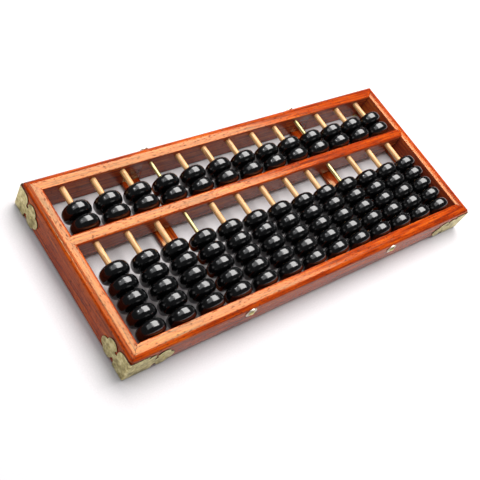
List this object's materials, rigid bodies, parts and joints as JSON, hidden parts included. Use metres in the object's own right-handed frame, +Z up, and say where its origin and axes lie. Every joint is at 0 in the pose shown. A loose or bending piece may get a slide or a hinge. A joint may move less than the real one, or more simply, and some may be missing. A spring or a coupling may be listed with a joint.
{
  "type": "abacus",
  "caption": "Chinese abacus with a mitred wooden frame, a dividing beam, rods, sliding round beads and sheet-brass corner caps.",
  "frame": {"origin": "centre of the footprint, on the undersides of the corner caps", "axes": "+X along the length towards the right end, +Y away from the user towards the two-bead deck, +Z up"},
  "size_m": [0.3404, 0.1444, 0.0291],
  "materials": {
    "red_lacquered_hardwood": "glossy orange-red varnish over hardwood",
    "black_lacquered_wood": "thick black gloss lacquer",
    "bamboo": "bare straw-coloured bamboo with fine fibres",
    "tie_rod_brass": "drawn brass wire, satin",
    "washer_steel": "plain turned, slightly dulled",
    "corner_brass": "pressed sheet, brushed and patinated"
  },
  "bodies": {
    "frame": {"front_rail": "red_lacquered_hardwood", "rear_rail": "red_lacquered_hardwood", "left_rail": "red_lacquered_hardwood", "right_rail": "red_lacquered_hardwood", "beam": "red_lacquered_hardwood", "left_batten": "red_lacquered_hardwood", "right_batten": "red_lacquered_hardwood", "bamboo_rod_01": "bamboo", "bamboo_rod_02": "bamboo", "bamboo_rod_03": "bamboo", "bamboo_rod_05": "bamboo", "bamboo_rod_06": "bamboo", "bamboo_rod_07": "bamboo", "bamboo_rod_08": "bamboo", "bamboo_rod_09": "bamboo", "bamboo_rod_11": "bamboo", "bamboo_rod_12": "bamboo", "bamboo_rod_13": "bamboo", "tie_rod_04": "tie_rod_brass", "tie_rod_10": "tie_rod_brass", "front_left_cap": "corner_brass", "rear_left_cap": "corner_brass", "front_right_cap": "corner_brass", "rear_right_cap": "corner_brass", "corner_pins": "corner_brass", "tie_rod_washers": "washer_steel"},
    "lower_beads_01": {"lower_beads_01": "black_lacquered_wood"},
    "upper_beads_01": {"upper_beads_01": "black_lacquered_wood"},
    "lower_beads_02": {"lower_beads_02": "black_lacquered_wood"},
    "upper_beads_02": {"upper_beads_02": "black_lacquered_wood"},
    "lower_beads_03": {"lower_beads_03": "black_lacquered_wood"},
    "upper_beads_03": {"upper_beads_03": "black_lacquered_wood"},
    "lower_beads_04": {"lower_beads_04": "black_lacquered_wood"},
    "upper_beads_04": {"upper_beads_04": "black_lacquered_wood"},
    "lower_beads_05": {"lower_beads_05": "black_lacquered_wood"},
    "upper_beads_05": {"upper_beads_05": "black_lacquered_wood"},
    "lower_beads_06": {"lower_beads_06": "black_lacquered_wood"},
    "upper_beads_06": {"upper_beads_06": "black_lacquered_wood"},
    "lower_beads_07": {"lower_beads_07": "black_lacquered_wood"},
    "upper_beads_07": {"upper_beads_07": "black_lacquered_wood"},
    "lower_beads_08": {"lower_beads_08": "black_lacquered_wood"},
    "upper_beads_08": {"upper_beads_08": "black_lacquered_wood"},
    "lower_beads_09": {"lower_beads_09": "black_lacquered_wood"},
    "upper_beads_09": {"upper_beads_09": "black_lacquered_wood"},
    "lower_beads_10": {"lower_beads_10": "black_lacquered_wood"},
    "upper_beads_10": {"upper_beads_10": "black_lacquered_wood"},
    "lower_beads_11": {"lower_beads_11": "black_lacquered_wood"},
    "upper_beads_11": {"upper_beads_11": "black_lacquered_wood"},
    "lower_beads_12": {"lower_beads_12": "black_lacquered_wood"},
    "upper_beads_12": {"upper_beads_12": "black_lacquered_wood"},
    "lower_beads_13": {"lower_beads_13": "black_lacquered_wood"},
    "upper_beads_13": {"upper_beads_13": "black_lacquered_wood"}
  },
  "joints": [
    {"name": "lower_slide_01", "type": "slide", "parent": "frame", "child": "lower_beads_01", "axis": [0, 1, 0], "range_m": [0, 0.018]},
    {"name": "upper_slide_01", "type": "slide", "parent": "frame", "child": "upper_beads_01", "axis": [0, 1, 0], "range_m": [0, 0.0146]},
    {"name": "lower_slide_02", "type": "slide", "parent": "frame", "child": "lower_beads_02", "axis": [0, 1, 0], "range_m": [0, 0.018]},
    {"name": "upper_slide_02", "type": "slide", "parent": "frame", "child": "upper_beads_02", "axis": [0, 1, 0], "range_m": [0, 0.0146]},
    {"name": "lower_slide_03", "type": "slide", "parent": "frame", "child": "lower_beads_03", "axis": [0, 1, 0], "range_m": [0, 0.018]},
    {"name": "upper_slide_03", "type": "slide", "parent": "frame", "child": "upper_beads_03", "axis": [0, 1, 0], "range_m": [0, 0.0146]},
    {"name": "lower_slide_04", "type": "slide", "parent": "frame", "child": "lower_beads_04", "axis": [0, 1, 0], "range_m": [0, 0.018]},
    {"name": "upper_slide_04", "type": "slide", "parent": "frame", "child": "upper_beads_04", "axis": [0, 1, 0], "range_m": [0, 0.0146]},
    {"name": "lower_slide_05", "type": "slide", "parent": "frame", "child": "lower_beads_05", "axis": [0, 1, 0], "range_m": [0, 0.018]},
    {"name": "upper_slide_05", "type": "slide", "parent": "frame", "child": "upper_beads_05", "axis": [0, 1, 0], "range_m": [0, 0.0146]},
    {"name": "lower_slide_06", "type": "slide", "parent": "frame", "child": "lower_beads_06", "axis": [0, 1, 0], "range_m": [0, 0.018]},
    {"name": "upper_slide_06", "type": "slide", "parent": "frame", "child": "upper_beads_06", "axis": [0, 1, 0], "range_m": [0, 0.0146]},
    {"name": "lower_slide_07", "type": "slide", "parent": "frame", "child": "lower_beads_07", "axis": [0, 1, 0], "range_m": [0, 0.018]},
    {"name": "upper_slide_07", "type": "slide", "parent": "frame", "child": "upper_beads_07", "axis": [0, 1, 0], "range_m": [0, 0.0146]},
    {"name": "lower_slide_08", "type": "slide", "parent": "frame", "child": "lower_beads_08", "axis": [0, 1, 0], "range_m": [0, 0.018]},
    {"name": "upper_slide_08", "type": "slide", "parent": "frame", "child": "upper_beads_08", "axis": [0, 1, 0], "range_m": [0, 0.0146]},
    {"name": "lower_slide_09", "type": "slide", "parent": "frame", "child": "lower_beads_09", "axis": [0, 1, 0], "range_m": [0, 0.018]},
    {"name": "upper_slide_09", "type": "slide", "parent": "frame", "child": "upper_beads_09", "axis": [0, 1, 0], "range_m": [0, 0.0146]},
    {"name": "lower_slide_10", "type": "slide", "parent": "frame", "child": "lower_beads_10", "axis": [0, 1, 0], "range_m": [0, 0.018]},
    {"name": "upper_slide_10", "type": "slide", "parent": "frame", "child": "upper_beads_10", "axis": [0, 1, 0], "range_m": [0, 0.0146]},
    {"name": "lower_slide_11", "type": "slide", "parent": "frame", "child": "lower_beads_11", "axis": [0, 1, 0], "range_m": [0, 0.018]},
    {"name": "upper_slide_11", "type": "slide", "parent": "frame", "child": "upper_beads_11", "axis": [0, 1, 0], "range_m": [0, 0.0146]},
    {"name": "lower_slide_12", "type": "slide", "parent": "frame", "child": "lower_beads_12", "axis": [0, 1, 0], "range_m": [0, 0.018]},
    {"name": "upper_slide_12", "type": "slide", "parent": "frame", "child": "upper_beads_12", "axis": [0, 1, 0], "range_m": [0, 0.0146]},
    {"name": "lower_slide_13", "type": "slide", "parent": "frame", "child": "lower_beads_13", "axis": [0, 1, 0], "range_m": [0, 0.018]},
    {"name": "upper_slide_13", "type": "slide", "parent": "frame", "child": "upper_beads_13", "axis": [0, 1, 0], "range_m": [0, 0.0146]}
  ]
}
